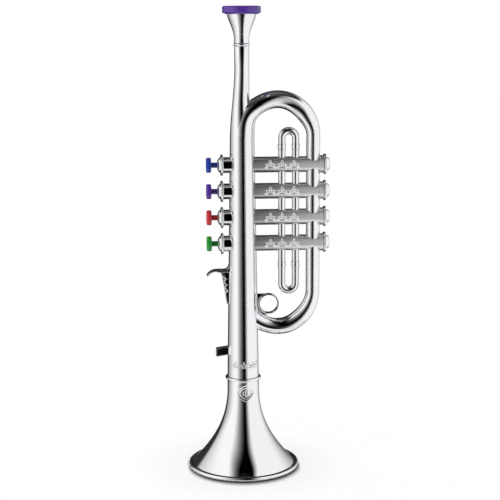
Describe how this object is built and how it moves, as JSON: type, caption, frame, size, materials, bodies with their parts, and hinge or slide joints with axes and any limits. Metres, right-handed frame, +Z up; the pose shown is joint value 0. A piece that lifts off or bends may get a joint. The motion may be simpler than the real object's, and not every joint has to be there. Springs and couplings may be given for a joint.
{
  "type": "toy trumpet",
  "caption": "Chromed plastic toy trumpet that stands on its bell, with a purple mouthpiece rim, a loop of tube beside the body, and coloured sprung buttons that open reed valves.",
  "frame": {"origin": "middle of the outline's box, on the surface that the bell stands on", "axes": "+Z up from the bell to the mouthpiece, +X from the buttons toward the loop and the end caps, +Y from the front shell to the back shell"},
  "size_m": [0.1138, 0.0894, 0.37],
  "materials": {
    "chrome_plastic": "vacuum-metallised plastic, mirror bright",
    "purple_plastic": "moulded, glossy",
    "blue_plastic": "moulded, glossy",
    "violet_plastic": "moulded, glossy",
    "red_plastic": "moulded, glossy",
    "green_plastic": "moulded, glossy",
    "spring_steel": "bright wire and washers",
    "brass": "plain sheet",
    "black_rubber": "matt",
    "grey_plastic": "moulded, matt"
  },
  "bodies": {
    "trumpet": {"body_front_shell": "chrome_plastic", "body_back_shell": "chrome_plastic", "bell": "chrome_plastic", "mouthpiece": "chrome_plastic", "mouthpiece_rim": "purple_plastic", "chamber_plug": "black_rubber", "finger_ring": "chrome_plastic", "finger_hook": "chrome_plastic", "clip_lug": "chrome_plastic", "button_spring_blue": "spring_steel", "valve_top_cap_blue": "chrome_plastic", "valve_end_cap_blue": "chrome_plastic", "reed_holder_blue": "grey_plastic", "reed_blue": "brass", "button_spring_purple": "spring_steel", "valve_top_cap_purple": "chrome_plastic", "valve_end_cap_purple": "chrome_plastic", "reed_holder_purple": "grey_plastic", "reed_purple": "brass", "button_spring_red": "spring_steel", "valve_top_cap_red": "chrome_plastic", "valve_end_cap_red": "chrome_plastic", "reed_holder_red": "grey_plastic", "reed_red": "brass", "button_spring_green": "spring_steel", "valve_top_cap_green": "chrome_plastic", "valve_end_cap_green": "chrome_plastic", "reed_holder_green": "grey_plastic", "reed_green": "brass"},
    "blue_valve": {"button_blue": "blue_plastic", "stem_washer_blue": "spring_steel", "valve_pad_blue": "black_rubber"},
    "purple_valve": {"button_purple": "violet_plastic", "stem_washer_purple": "spring_steel", "valve_pad_purple": "black_rubber"},
    "red_valve": {"button_red": "red_plastic", "stem_washer_red": "spring_steel", "valve_pad_red": "black_rubber"},
    "green_valve": {"button_green": "green_plastic", "stem_washer_green": "spring_steel", "valve_pad_green": "black_rubber"}
  },
  "joints": [
    {"name": "blue_button_press", "type": "slide", "parent": "trumpet", "child": "blue_valve", "axis": [1, 0, 0], "range_m": [0, 0.0045], "stiffness_N_per_m": 150, "springref_m": -0.003, "deforming": ["button_spring_blue"]},
    {"name": "purple_button_press", "type": "slide", "parent": "trumpet", "child": "purple_valve", "axis": [1, 0, 0], "range_m": [0, 0.0045], "stiffness_N_per_m": 150, "springref_m": -0.003, "deforming": ["button_spring_purple"]},
    {"name": "red_button_press", "type": "slide", "parent": "trumpet", "child": "red_valve", "axis": [1, 0, 0], "range_m": [0, 0.0045], "stiffness_N_per_m": 150, "springref_m": -0.003, "deforming": ["button_spring_red"]},
    {"name": "green_button_press", "type": "slide", "parent": "trumpet", "child": "green_valve", "axis": [1, 0, 0], "range_m": [0, 0.0045], "stiffness_N_per_m": 150, "springref_m": -0.003, "deforming": ["button_spring_green"]}
  ]
}
